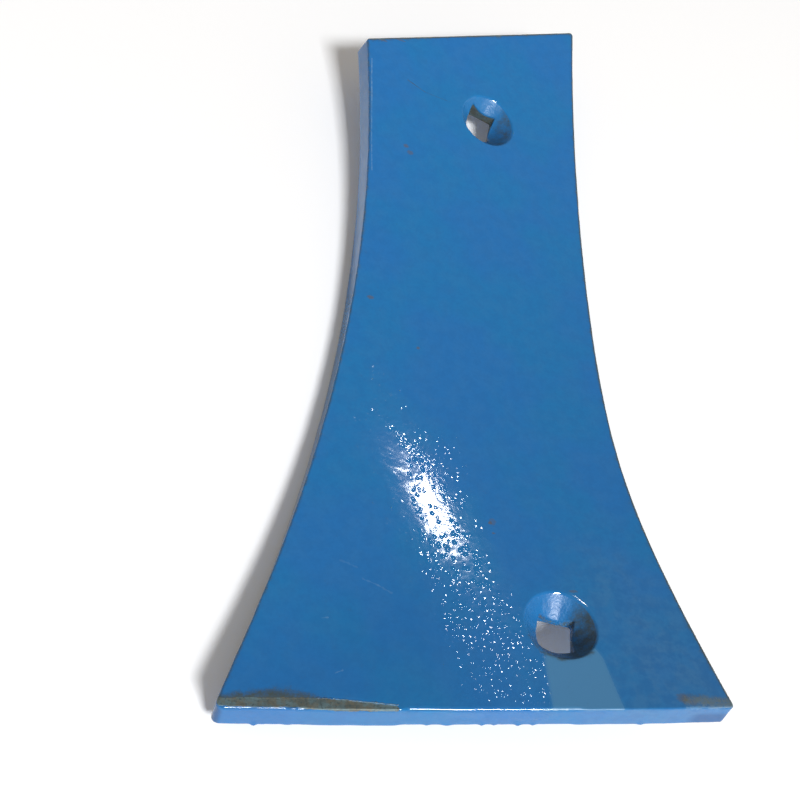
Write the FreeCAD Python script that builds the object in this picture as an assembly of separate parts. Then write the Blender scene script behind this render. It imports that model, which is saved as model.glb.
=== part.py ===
import FreeCAD
import Part
import math
import os

# The breast is the front plate of a plough body, between the share below it and the mouldboard
# behind it. It is one flat blank, rolled to a hollow working face about an axis that leans across
# the blank. The blank is measured on the working face: x runs along the bottom edge and y up from
# it, with the bottom left corner at zero. Lengths are in millimetres and angles in degrees.

# Plate and bend.
PLATE_THICKNESS = 10.0
FACE_RADIUS = 535.0
BEND_LEAN = 31.0

# Corners of the blank.
BOTTOM_WIDTH = 168.0
LEFT_HEIGHT = 294.5
LEFT_TOP_SHIFT = 58.5
RIGHT_HEIGHT = 341.0
RIGHT_TOP_SHIFT = 1.5

# Side edges: how far each leans from the upright at its ends, and how long it holds that course.
LEFT_FOOT_LEAN = 18.0
LEFT_FOOT_REACH = 19.5
LEFT_HEAD_LEAN = -5.5
LEFT_HEAD_REACH = 147.0
RIGHT_FOOT_LEAN = -9.0
RIGHT_FOOT_REACH = 126.5
RIGHT_HEAD_LEAN = 3.5
RIGHT_HEAD_REACH = 251.0

# Rounded corners of the outline and broken edges of the faces.
WORN_CORNER_RADIUS = 4.5
CORNER_RADIUS = 1.5
EDGE_RADIUS = 0.5

# Holes for two countersunk bolts with square necks.
LOWER_HOLE_X = 116.0
LOWER_HOLE_Y = 31.0
UPPER_HOLE_X = 119.0
UPPER_HOLE_Y = 272.0
BOLT_NECK = 12.0
NECK_CLEARANCE = 0.8
BOLT_HEAD_DIAMETER = 24.6
HEAD_CLEARANCE = 1.4
SEAT_ANGLE = 85.0
NECK_TURN = -13.0

# How far the upper square hole lies off the middle of its seat, along its own turned sides.
UPPER_NECK_SHIFT = -1.6
UPPER_NECK_RISE = 1.5

# Stock beyond each end before it is cut flat, as a share of a side's length.
END_STOCK = 0.06


def leaning(lean):
    """Unit vector in the blank that leans to the right of the upright."""
    return FreeCAD.Vector(math.sin(math.radians(lean)), math.cos(math.radians(lean)), 0)


def corners():
    """Corners of the finished blank: bottom left, bottom right, top right and top left."""
    return (FreeCAD.Vector(0, 0, 0),
            FreeCAD.Vector(BOTTOM_WIDTH, 0, 0),
            FreeCAD.Vector(BOTTOM_WIDTH + RIGHT_TOP_SHIFT, RIGHT_HEIGHT, 0),
            FreeCAD.Vector(LEFT_TOP_SHIFT, LEFT_HEIGHT, 0))


def polar_point(poles, parameters):
    """Polar form of a cubic curve with four poles."""
    points = list(poles)
    for t in parameters:
        points = [p + (q - p) * t for p, q in zip(points, points[1:])]
    return points[0]


def side_poles(foot, foot_lean, foot_reach, head, head_lean, head_reach):
    """Poles of a side edge in the blank, carried on past both of its ends."""
    poles = (foot, foot + leaning(foot_lean) * foot_reach,
             head - leaning(head_lean) * head_reach, head)
    a, b = -END_STOCK, 1 + END_STOCK
    return [polar_point(poles, span) for span in ((a, a, a), (a, a, b), (a, b, b), (b, b, b))]


def blank_outline():
    """Poles of the four edges of the blank, in order round it."""
    bottom_left, bottom_right, top_right, top_left = corners()
    left = side_poles(bottom_left, LEFT_FOOT_LEAN, LEFT_FOOT_REACH,
                      top_left, LEFT_HEAD_LEAN, LEFT_HEAD_REACH)
    right = side_poles(bottom_right, RIGHT_FOOT_LEAN, RIGHT_FOOT_REACH,
                       top_right, RIGHT_HEAD_LEAN, RIGHT_HEAD_REACH)
    return [left, [left[-1], right[-1]], right[::-1], [right[0], left[0]]]


def turn_and_reach(point):
    """Turn about the bending axis, in radians, and distance along it for a point of the blank."""
    lean = math.radians(BEND_LEAN)
    across = point.y * math.cos(lean) - point.x * math.sin(lean)
    along = point.x * math.cos(lean) + point.y * math.sin(lean)
    return FreeCAD.Base.Vector2d(across / FACE_RADIUS, along)


def face_place(point, turn=0.0):
    """Place on the rolled face, with X turned from the blank's x and Z out of the hollow side.

    The bending axis is the Z axis of the space that the plate is rolled in.
    """
    rolled = turn_and_reach(point)
    outward = FreeCAD.Vector(math.cos(rolled.x), math.sin(rolled.x), 0)
    tangent = FreeCAD.Vector(-math.sin(rolled.x), math.cos(rolled.x), 0)
    axis = FreeCAD.Vector(0, 0, 1)
    angle = math.radians(BEND_LEAN - turn)
    x_axis = axis * math.cos(angle) - tangent * math.sin(angle)
    y_axis = tangent * math.cos(angle) + axis * math.sin(angle)
    rotation = FreeCAD.Rotation(x_axis, y_axis, outward * -1, "ZXY")
    return FreeCAD.Placement(outward * FACE_RADIUS + axis * rolled.y, rotation)


def rolled_face(outline, radius):
    """Curved face inside the outline at a radius from the bending axis, and its edges."""
    cylinder = Part.Cylinder()
    cylinder.Radius = radius
    edges = []
    for poles in outline:
        curve = Part.Geom2d.BezierCurve2d()
        curve.setPoles([turn_and_reach(pole) for pole in poles])
        edges.append(curve.toShape(cylinder))
    face = Part.Face(cylinder, Part.Wire(edges))
    face.validate()
    return face, edges


def rolled_blank():
    """Rolled plate with stock left on both ends, its side edges square to the face."""
    outline = blank_outline()
    front, front_edges = rolled_face(outline, FACE_RADIUS)
    back, back_edges = rolled_face(outline, FACE_RADIUS + PLATE_THICKNESS)
    walls = [Part.makeRuledSurface(a, b) for a, b in zip(front_edges, back_edges)]
    shell = Part.makeShell([front, back] + walls)
    shell.sewShape()
    return Part.Solid(shell)


def end_stock(start, stop):
    """Block whose flat side cuts an end along a line of the blank, and takes its right-hand side."""
    middle = (start + stop) * 0.5
    course = stop - start
    turn = math.degrees(math.atan2(course.y, course.x))
    width = course.Length * 2
    depth = RIGHT_HEIGHT * END_STOCK * 4
    block = Part.makeBox(width, depth, width, FreeCAD.Vector(-width / 2, -depth, -width / 2))
    block.Placement = face_place(middle, turn).multiply(block.Placement)
    return block


def bolt_hole(x, y, shift=0.0, rise=0.0):
    """Void of one bolt hole: a conical seat for the head over a square hole for the neck.

    The square hole may lie off the middle of its seat, which then runs deep enough to meet it.
    """
    neck = BOLT_NECK + NECK_CLEARANCE
    rim = (BOLT_HEAD_DIAMETER + HEAD_CLEARANCE) / 2
    slope = math.tan(math.radians(SEAT_ANGLE / 2))
    foot = neck / 2 - math.hypot(shift, rise)
    seat_depth = (rim - foot) / slope
    above = PLATE_THICKNESS / 2
    seat = Part.makeCone(foot, rim + above * slope, seat_depth + above,
                         FreeCAD.Vector(0, 0, -seat_depth))
    length = PLATE_THICKNESS * 2
    corner = FreeCAD.Vector(shift - neck / 2, rise - neck / 2, -length)
    square = Part.makeBox(neck, neck, length, corner)
    void = seat.fuse(square)
    void.Placement = face_place(FreeCAD.Vector(x, y, 0), NECK_TURN)
    return void


def upright_edges(plate):
    """Edges that cross the plate's thickness, sorted by distance from the bottom left corner."""
    start = face_place(corners()[0]).Base
    upright = []
    for edge in plate.Edges:
        radii = [math.hypot(vertex.X, vertex.Y) for vertex in edge.Vertexes]
        if max(radii) - min(radii) > PLATE_THICKNESS / 2:
            upright.append(edge)
    return sorted(upright, key=lambda edge: edge.CenterOfMass.distanceToPoint(start))


def round_corners(plate):
    """Round the four corners of the outline; the bottom left one is worn rounder."""
    plate = plate.makeFillet(WORN_CORNER_RADIUS, upright_edges(plate)[:1])
    return plate.makeFillet(CORNER_RADIUS, upright_edges(plate)[2:])


def break_edges(plate):
    """Take the sharpness off every edge where the hollow face or the back ends."""
    rims = []
    for face in plate.Faces:
        if isinstance(face.Surface, Part.Cylinder) and face.Surface.Radius >= FACE_RADIUS:
            rims += face.Edges
    return plate.makeFillet(EDGE_RADIUS, rims)


def at_rest(plate):
    """Lay the plate down on its back, as it balances on a floor at zero height."""
    plate = plate.Solids[0]
    centre = plate.CenterOfMass
    plate.rotate(FreeCAD.Vector(0, 0, 0), FreeCAD.Vector(0, 0, 1),
                 -math.degrees(math.atan2(centre.y, centre.x)))
    lean = math.radians(BEND_LEAN)
    axis = FreeCAD.Vector(math.cos(lean), math.sin(lean), 0)
    down = FreeCAD.Vector(0, 0, -1)
    lay = FreeCAD.Rotation(down, axis.cross(down), axis, "ZXY")
    height = FACE_RADIUS + PLATE_THICKNESS
    plate.Placement = FreeCAD.Placement(FreeCAD.Vector(0, 0, height), lay).multiply(plate.Placement)
    middle = plate.optimalBoundingBox(False).Center
    plate.translate(FreeCAD.Vector(-middle.x, -middle.y, 0))
    return plate


def breast_plate():
    """The whole breast in one piece."""
    bottom_left, bottom_right, top_right, top_left = corners()
    stock = [end_stock(bottom_left, bottom_right), end_stock(top_right, top_left)]
    plate = round_corners(rolled_blank().cut(stock).Solids[0])
    holes = [bolt_hole(LOWER_HOLE_X, LOWER_HOLE_Y),
             bolt_hole(UPPER_HOLE_X, UPPER_HOLE_Y, UPPER_NECK_SHIFT, UPPER_NECK_RISE)]
    return at_rest(break_edges(plate.cut(holes).Solids[0]))


os.makedirs("parts", exist_ok=True)
breast_plate().exportStep("parts/breast_plate.step")
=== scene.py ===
"""Looks of a plough's breast: one painted steel plate, rolled hollow, with two countersunk holes."""

import logging
import math
from dataclasses import dataclass, field
from enum import Enum
from typing import ClassVar

import bpy
import numpy as np
from mathutils import Matrix, Vector
from mathutils.geometry import delaunay_2d_cdt


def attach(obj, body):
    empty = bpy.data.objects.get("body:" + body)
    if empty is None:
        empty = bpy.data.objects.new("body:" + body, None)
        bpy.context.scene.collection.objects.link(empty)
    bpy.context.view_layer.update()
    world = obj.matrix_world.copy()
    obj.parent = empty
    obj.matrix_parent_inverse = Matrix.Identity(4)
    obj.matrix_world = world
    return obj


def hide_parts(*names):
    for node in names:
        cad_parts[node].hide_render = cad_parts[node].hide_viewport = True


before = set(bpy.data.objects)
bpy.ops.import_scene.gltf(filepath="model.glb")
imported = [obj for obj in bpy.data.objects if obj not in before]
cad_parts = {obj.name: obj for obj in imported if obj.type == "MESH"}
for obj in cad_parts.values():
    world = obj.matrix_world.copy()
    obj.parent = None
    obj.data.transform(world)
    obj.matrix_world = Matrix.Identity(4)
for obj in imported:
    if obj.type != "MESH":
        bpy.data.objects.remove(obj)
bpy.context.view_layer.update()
LOG = logging.getLogger("breast")
MM = 0.001

Colour = tuple[float, float, float]
Feed = bpy.types.NodeSocket | float | tuple


class Region(Enum):
    """Part of the plate that a face belongs to."""

    HOLLOW = 0
    RIM = 1
    SEAT = 2
    NECK = 3
    BACK = 4


def smooth(t: np.ndarray) -> np.ndarray:
    """Smooth step from 0 at 0 to 1 at 1."""
    t = np.clip(t, 0, 1)
    return t * t * (3 - 2 * t)


def ripple(x: np.ndarray, y: np.ndarray, size: float, seed: int) -> np.ndarray:
    """Smooth noise from -1 to 1 whose bumps are about a size across.

    Args:
        x: First coordinates.
        y: Second coordinates.
        size: Distance between the values that the noise runs through.
        seed: Number that picks the pattern.

    Returns:
        One value for each pair of coordinates.
    """
    cells = 197
    table = np.random.default_rng(seed).uniform(-1, 1, (cells, cells))
    u, v = x / size, y / size
    i, j = np.floor(u).astype(int), np.floor(v).astype(int)
    f, g = u - i, v - j
    f = f * f * f * (f * (f * 6 - 15) + 10)
    g = g * g * g * (g * (g * 6 - 15) + 10)
    low = table[i % cells, j % cells] * (1 - f) + table[(i + 1) % cells, j % cells] * f
    high = table[i % cells, (j + 1) % cells] * (1 - f) + table[(i + 1) % cells, (j + 1) % cells] * f
    return low * (1 - g) + high * g


def cubic(poles: tuple[np.ndarray, ...], t: np.ndarray) -> np.ndarray:
    """Points of a cubic curve with four poles, for shares of it in a column.

    Args:
        poles: The curve's four poles.
        t: Shares of the curve, in a column.

    Returns:
        One point for each share, in rows.
    """
    a, b, c, d = poles
    s = 1 - t
    return a * s**3 + b * 3 * s * s * t + c * 3 * s * t * t + d * t**3


def heading(angle: float) -> np.ndarray:
    """Unit vector of the blank at an angle from its x, in radians."""
    return np.array([math.cos(angle), math.sin(angle)])


def along_line(line: np.ndarray, reach: np.ndarray) -> np.ndarray:
    """Points at given lengths along a line of points."""
    steps = np.concatenate([[0.0], np.cumsum(np.linalg.norm(np.diff(line, axis=0), axis=1))])
    return np.stack([np.interp(reach, steps, line[:, k]) for k in range(2)], 1)


def line_length(line: np.ndarray) -> float:
    """Length of a line of points."""
    return float(np.linalg.norm(np.diff(line, axis=0), axis=1).sum())


def put(name: str, data: bpy.types.ID) -> bpy.types.Object:
    """Makes an object from its data and puts it in the scene.

    Args:
        name: Name of the object.
        data: Mesh, lamp or camera that it carries.

    Returns:
        The object.
    """
    thing = bpy.data.objects.new(name, data)
    bpy.context.scene.collection.objects.link(thing)
    return thing


def stand(thing: bpy.types.Object, place: Vector, right: Vector, up: Vector) -> None:
    """Moves an object to a place, with its own X to the right and its own Y up."""
    turn = Matrix((right, up, right.cross(up))).transposed().to_4x4()
    thing.matrix_world = Matrix.Translation(place) @ turn


@dataclass(frozen=True)
class Roll:
    """Bend of the plate and the way it lies, from the flat blank to the row's frame, in mm.

    The blank is measured on the hollow face: x runs along the bottom edge and y up from it. In
    the rolled space the bending axis is Z, and depth is counted from the hollow face to the back.
    """

    face_radius: float = 535.0
    thickness: float = 10.0
    bend_lean: float = 31.0
    balance_turn: float = 7.878457
    centre: tuple[float, float] = (-123.8575, -106.7925)

    def rolled(self, spots: np.ndarray, depth: np.ndarray | float = 0.0) -> np.ndarray:
        """Rolled points for spots of the blank at a depth.

        Args:
            spots: Places in the blank, one in each row.
            depth: Depth below the hollow face, one value or one for each spot.

        Returns:
            Points about the bending axis, one in each row.
        """
        lean = math.radians(self.bend_lean)
        x, y = spots[:, 0], spots[:, 1]
        turn = (y * math.cos(lean) - x * math.sin(lean)) / self.face_radius
        along = x * math.cos(lean) + y * math.sin(lean)
        radius = self.face_radius + np.broadcast_to(depth, turn.shape)
        return np.stack([radius * np.cos(turn), radius * np.sin(turn), along], 1)

    def flattened(self, points: np.ndarray) -> np.ndarray:
        """Blank x, blank y and depth of rolled points.

        Args:
            points: Points about the bending axis, one in each row.

        Returns:
            Rows of x, y and depth.
        """
        lean = math.radians(self.bend_lean)
        across = np.arctan2(points[:, 1], points[:, 0]) * self.face_radius
        along = points[:, 2]
        x = along * math.cos(lean) - across * math.sin(lean)
        y = along * math.sin(lean) + across * math.cos(lean)
        return np.stack([x, y, np.hypot(points[:, 0], points[:, 1]) - self.face_radius], 1)

    def place(self, spot: tuple[float, float], turn: float = 0.0) -> tuple[np.ndarray, np.ndarray]:
        """Rolled place of a spot on the hollow face.

        Args:
            spot: Place in the blank.
            turn: Degrees from the blank's x to the place's own X.

        Returns:
            The point, and three rows: X, Y and Z, with Z out of the hollow side.
        """
        point = self.rolled(np.array([spot]))[0]
        outward = np.array([point[0], point[1], 0.0]) / self.face_radius
        tangent = np.array([-outward[1], outward[0], 0.0])
        axis = np.array([0.0, 0.0, 1.0])
        angle = math.radians(self.bend_lean - turn)
        x_axis = axis * math.cos(angle) - tangent * math.sin(angle)
        y_axis = tangent * math.cos(angle) + axis * math.sin(angle)
        return point, np.stack([x_axis, y_axis, -outward])

    def at_rest(self, points: np.ndarray) -> np.ndarray:
        """Rolled points, in the row's frame, as the plate lies on its convex back.

        Args:
            points: Points about the bending axis, one in each row.

        Returns:
            The same points as they lie, in mm.
        """
        lean, turn = math.radians(self.bend_lean), math.radians(self.balance_turn)
        axis = np.array([math.cos(lean), math.sin(lean), 0.0])
        down = np.array([0.0, 0.0, -1.0])
        side = np.cross(axis, down)
        x_axis = down * math.cos(turn) - side * math.sin(turn)
        y_axis = down * math.sin(turn) + side * math.cos(turn)
        origin = np.array([*self.centre, self.face_radius + self.thickness])
        return points @ np.stack([x_axis, y_axis, axis]) + origin


@dataclass(frozen=True)
class SideEdge:
    """Waisted side edge of the blank: where its ends lean, and how far each holds that course."""

    foot: tuple[float, float]
    foot_lean: float
    foot_reach: float
    head: tuple[float, float]
    head_lean: float
    head_reach: float

    def points(self, t: np.ndarray) -> np.ndarray:
        """Points of the edge, from its foot at 0 to its head at 1, and a little beyond both.

        Args:
            t: Shares of the way from the foot to the head.

        Returns:
            Spots of the blank, one in each row.
        """
        foot, head = np.array(self.foot), np.array(self.head)
        rise = [math.radians(self.foot_lean), math.radians(self.head_lean)]
        near = foot + np.array([math.sin(rise[0]), math.cos(rise[0])]) * self.foot_reach
        far = head - np.array([math.sin(rise[1]), math.cos(rise[1])]) * self.head_reach
        return cubic((foot, near, far, head), np.asarray(t, float)[:, None])


@dataclass(frozen=True)
class EndCut:
    """Flat cut across an end of the rolled plate, along a line between two corners."""

    start: tuple[float, float]
    stop: tuple[float, float]
    search: float = 0.04
    halvings: int = 40

    def beyond(self, roll: Roll, spots: np.ndarray, depth: float) -> np.ndarray:
        """Distance of spots beyond the cut, positive on the plate's side of it.

        Args:
            roll: Bend of the plate.
            spots: Places in the blank, one in each row.
            depth: Depth below the hollow face.

        Returns:
            One distance for each spot.
        """
        start, stop = np.array(self.start), np.array(self.stop)
        course = stop - start
        turn = math.degrees(math.atan2(course[1], course[0]))
        origin, axes = roll.place(tuple((start + stop) / 2), turn)
        return (roll.rolled(spots, depth) - origin) @ axes[1]

    def trim(self, roll: Roll, edge: SideEdge, guess: float, depth: float) -> float:
        """Share of a side edge at which the cut meets it.

        Args:
            roll: Bend of the plate.
            edge: Side edge that is cut.
            guess: 0 for the edge's foot and 1 for its head.
            depth: Depth below the hollow face.

        Returns:
            Share of the way from foot to head.
        """
        low, high = guess - self.search, guess + self.search
        for _ in range(self.halvings):
            middle = (low + high) / 2
            inside = self.beyond(roll, edge.points([middle]), depth)[0] > 0
            if inside == (guess < 0.5):
                high = middle
            else:
                low = middle
        return (low + high) / 2

    def line(self, roll: Roll, a: np.ndarray, b: np.ndarray, depth: float, count: int) -> np.ndarray:
        """Points of the cut's line at a depth, from spot a to spot b.

        Args:
            roll: Bend of the plate.
            a: Where the line starts.
            b: Where it ends.
            depth: Depth below the hollow face.
            count: Number of points.

        Returns:
            Spots of the blank, one in each row.
        """
        spots = a + (b - a) * np.linspace(0, 1, count)[:, None]
        across = np.array([-(b - a)[1], (b - a)[0]]) / np.linalg.norm(b - a)
        for _ in range(4):
            miss = self.beyond(roll, spots, depth)
            moved = self.beyond(roll, spots + across * 0.01, depth)
            spots = spots - across * (miss / ((moved - miss) / 0.01))[:, None]
        return spots


@dataclass(frozen=True)
class Outline:
    """Outline of the blank: two waisted sides, two flat-cut ends and four rounded corners."""

    roll: Roll
    bottom_left: tuple[float, float] = (-0.4, 0.0)
    bottom_right: tuple[float, float] = (168.9, -0.8)
    top_right: tuple[float, float] = (169.5, 341.0)
    top_left: tuple[float, float] = (58.5, 294.5)
    left_leans: tuple[float, float] = (18.0, -5.5)
    left_reaches: tuple[float, float] = (19.5, 147.0)
    right_leans: tuple[float, float] = (-9.0, 3.5)
    right_reaches: tuple[float, float] = (126.5, 251.0)
    corner_radii: tuple[float, float, float, float] = (2.4, 1.5, 1.5, 1.5)
    corner_steps: tuple[int, int, int, int] = (9, 6, 6, 6)
    end_step: float = 0.6
    side_step: float = 1.0
    dense: int = 1500
    course_points: int = 19
    edge_wear: tuple[float, float, float, float] = (0.0, 0.9, 1.0, 0.4)

    def left(self) -> SideEdge:
        """The left side edge."""
        return SideEdge(self.bottom_left, self.left_leans[0], self.left_reaches[0],
                        self.top_left, self.left_leans[1], self.left_reaches[1])

    def right(self) -> SideEdge:
        """The right side edge."""
        return SideEdge(self.bottom_right, self.right_leans[0], self.right_reaches[0],
                        self.top_right, self.right_leans[1], self.right_reaches[1])

    def edges(self, depth: float) -> list[np.ndarray]:
        """Bottom, right, top and left edges at a depth, each a dense line, in order round it.

        Args:
            depth: Depth below the hollow face.

        Returns:
            Four lines of spots of the blank.
        """
        bottom = EndCut(self.bottom_left, self.bottom_right)
        top = EndCut(self.top_right, self.top_left)
        left, right = self.left(), self.right()
        rising = left.points(np.linspace(bottom.trim(self.roll, left, 0.0, depth),
                                         top.trim(self.roll, left, 1.0, depth), self.dense))
        climbing = right.points(np.linspace(bottom.trim(self.roll, right, 0.0, depth),
                                            top.trim(self.roll, right, 1.0, depth), self.dense))
        return [bottom.line(self.roll, rising[0], climbing[0], depth, self.dense), climbing,
                top.line(self.roll, climbing[-1], rising[-1], depth, self.dense), rising[::-1]]

    def counts(self) -> list[int]:
        """Number of steps along each of the four edges, the same at every depth."""
        steps = (self.end_step, self.side_step, self.end_step, self.side_step)
        return [round(line_length(edge) / step) for edge, step in zip(self.edges(0.0), steps)]

    def wear(self) -> np.ndarray:
        """How worn the sharp edge is at each point of the outline.

        Returns:
            One amount from 0 to 1 for each point.
        """
        amounts = []
        for k, count in enumerate(self.counts()):
            arriving, leaving = self.edge_wear[k - 1], self.edge_wear[k]
            amounts.append(np.linspace(arriving, leaving, self.corner_steps[k] + 1)[:-1])
            amounts.append(np.full(count, leaving))
        return np.concatenate(amounts)

    def loop(self, depth: float) -> np.ndarray:
        """Closed outline at a depth, anticlockwise seen from the hollow side, from the bottom left.

        Args:
            depth: Depth below the hollow face.

        Returns:
            Spots of the blank, one in each row.
        """
        edges = self.edges(depth)
        cuts, turns = [], []
        for k, radius in enumerate(self.corner_radii):
            arriving = edges[k - 1][-1] - edges[k - 1][-1 - self.course_points]
            leaving = edges[k][self.course_points] - edges[k][0]
            angle = math.atan2(arriving[0] * leaving[1] - arriving[1] * leaving[0],
                               float(arriving @ leaving))
            cuts.append(radius * math.tan(angle / 2))
            turns.append(angle)
        spots = []
        for k, count in enumerate(self.counts()):
            before, after = edges[k - 1], edges[k]
            length = line_length(before)
            start = along_line(before, np.array([length - cuts[k], length]))
            stop = along_line(after, np.array([0.0, cuts[k]]))
            pull = 4 / 3 * math.tan(turns[k] / 4) * self.corner_radii[k] / cuts[k]
            a, b = start[0], stop[1]
            poles = (a, a + (start[1] - a) * pull, b + (stop[0] - b) * pull, b)
            spots.append(cubic(poles, np.linspace(0, 1, self.corner_steps[k] + 1)[:-1, None]))
            reach = np.linspace(cuts[k], line_length(after) - cuts[(k + 1) % 4], count + 1)
            spots.append(along_line(after, reach[:-1]))
        return np.concatenate(spots)


@dataclass(frozen=True)
class BoltHole:
    """Hole for a countersunk bolt: a conical seat over a square hole for its neck, in mm."""

    roll: Roll
    spot: tuple[float, float]
    neck_shift: tuple[float, float] = (0.0, 0.0)
    bareness: float = 1.0
    neck: float = 12.8
    neck_corner: float = 0.8
    rim: float = 13.0
    seat_angle: float = 85.0
    neck_turn: float = -13.0
    rim_round: float = 0.45
    ledge_round: float = 0.35
    back_round: float = 0.5
    side_steps: int = 26
    corner_steps: int = 5
    seat_rows: int = 14
    neck_rows: int = 9

    def neck_line(self) -> tuple[np.ndarray, np.ndarray]:
        """Outline of the square hole about the middle of the seat.

        Returns:
            Its points, anticlockwise, and the way out of the hole at each.
        """
        flat = self.neck / 2 - self.neck_corner
        points, ways = [], []
        for quarter in range(4):
            turn = math.pi / 2 * quarter
            for k in range(self.corner_steps):
                way = heading(turn + math.pi / 2 * k / self.corner_steps)
                middle = heading(turn + math.pi / 4)
                points.append(middle * flat * math.sqrt(2) + way * self.neck_corner)
                ways.append(way)
            way = heading(turn + math.pi / 2)
            course = np.array([-way[1], way[0]])
            for share in np.linspace(-flat, flat, self.side_steps, endpoint=False):
                points.append(way * self.neck / 2 + course * share)
                ways.append(way)
        return np.array(points) + np.array(self.neck_shift), np.array(ways)

    def face_height(self, spots: np.ndarray, depth: float) -> np.ndarray:
        """Height of the plate's face over the hole's own plane.

        Args:
            spots: Places about the middle of the seat, one in each row.
            depth: Depth of the face below the hollow face.

        Returns:
            One height for each spot.
        """
        lean = math.radians(self.roll.bend_lean - self.neck_turn)
        across = spots[:, 1] * math.cos(lean) - spots[:, 0] * math.sin(lean)
        return self.roll.face_radius - np.sqrt((self.roll.face_radius + depth)**2 - across**2)

    def rings(self) -> list[tuple[np.ndarray, Region]]:
        """Rings of the hole from the hollow face to the back.

        Returns:
            For each ring its points about the middle of the seat, and the part it ends.
        """
        half_angle = math.radians(self.seat_angle / 2)
        slope = math.tan(half_angle)
        neck, ways = self.neck_line()
        reach = np.linalg.norm(neck, axis=1)
        spoke = neck / reach[:, None]
        edge = np.full(len(neck), self.rim)
        for _ in range(6):
            edge = self.rim + self.face_height(spoke * edge[:, None], 0.0) * slope
        outer = spoke * (edge + self.rim_round)[:, None]
        down_cone = np.column_stack([-spoke * math.sin(half_angle),
                                     np.full(len(neck), -math.cos(half_angle))])
        lip = np.column_stack([spoke * edge[:, None], self.face_height(spoke * edge[:, None], 0.0)])
        ledge = np.column_stack([neck, -(self.rim - reach) / slope])
        foot = np.column_stack([neck, self.face_height(neck, self.roll.thickness)])
        beside = neck + ways * self.back_round
        up = np.array([0.0, 0.0, 1.0])
        bends = [(np.column_stack([outer, self.face_height(outer, 0.0)]), lip,
                  lip + down_cone * self.rim_round, Region.RIM, self.seat_rows),
                 (ledge - down_cone * self.ledge_round, ledge, ledge - up * self.ledge_round,
                  Region.SEAT, self.neck_rows),
                 (foot + up * self.back_round, foot,
                  np.column_stack([beside, self.face_height(beside, self.roll.thickness)]),
                  Region.NECK, 0)]
        rings = []
        for number, (start, corner, stop, region, rows) in enumerate(bends):
            for t in np.linspace(0, 1, 5):
                rings.append((start * (1 - t)**2 + corner * 2 * t * (1 - t) + stop * t * t, region))
            for t in np.linspace(0, 1, rows + 2)[1:-1]:
                following = bends[number + 1][0]
                rings.append((stop + (following - stop) * t, bends[number + 1][3]))
        return rings

    def in_blank(self, ring: np.ndarray) -> np.ndarray:
        """Blank x, blank y and depth of a ring's points."""
        origin, axes = self.roll.place(self.spot, self.neck_turn)
        return self.roll.flattened(origin + ring @ axes)


@dataclass(frozen=True)
class FineZone:
    """Box of the blank that is meshed more finely than the rest."""

    low: tuple[float, float]
    high: tuple[float, float]
    step: float

    def holds(self, spots: np.ndarray) -> np.ndarray:
        """Which spots are inside the box."""
        return np.all((spots > np.array(self.low)) & (spots < np.array(self.high)), axis=1)


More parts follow.
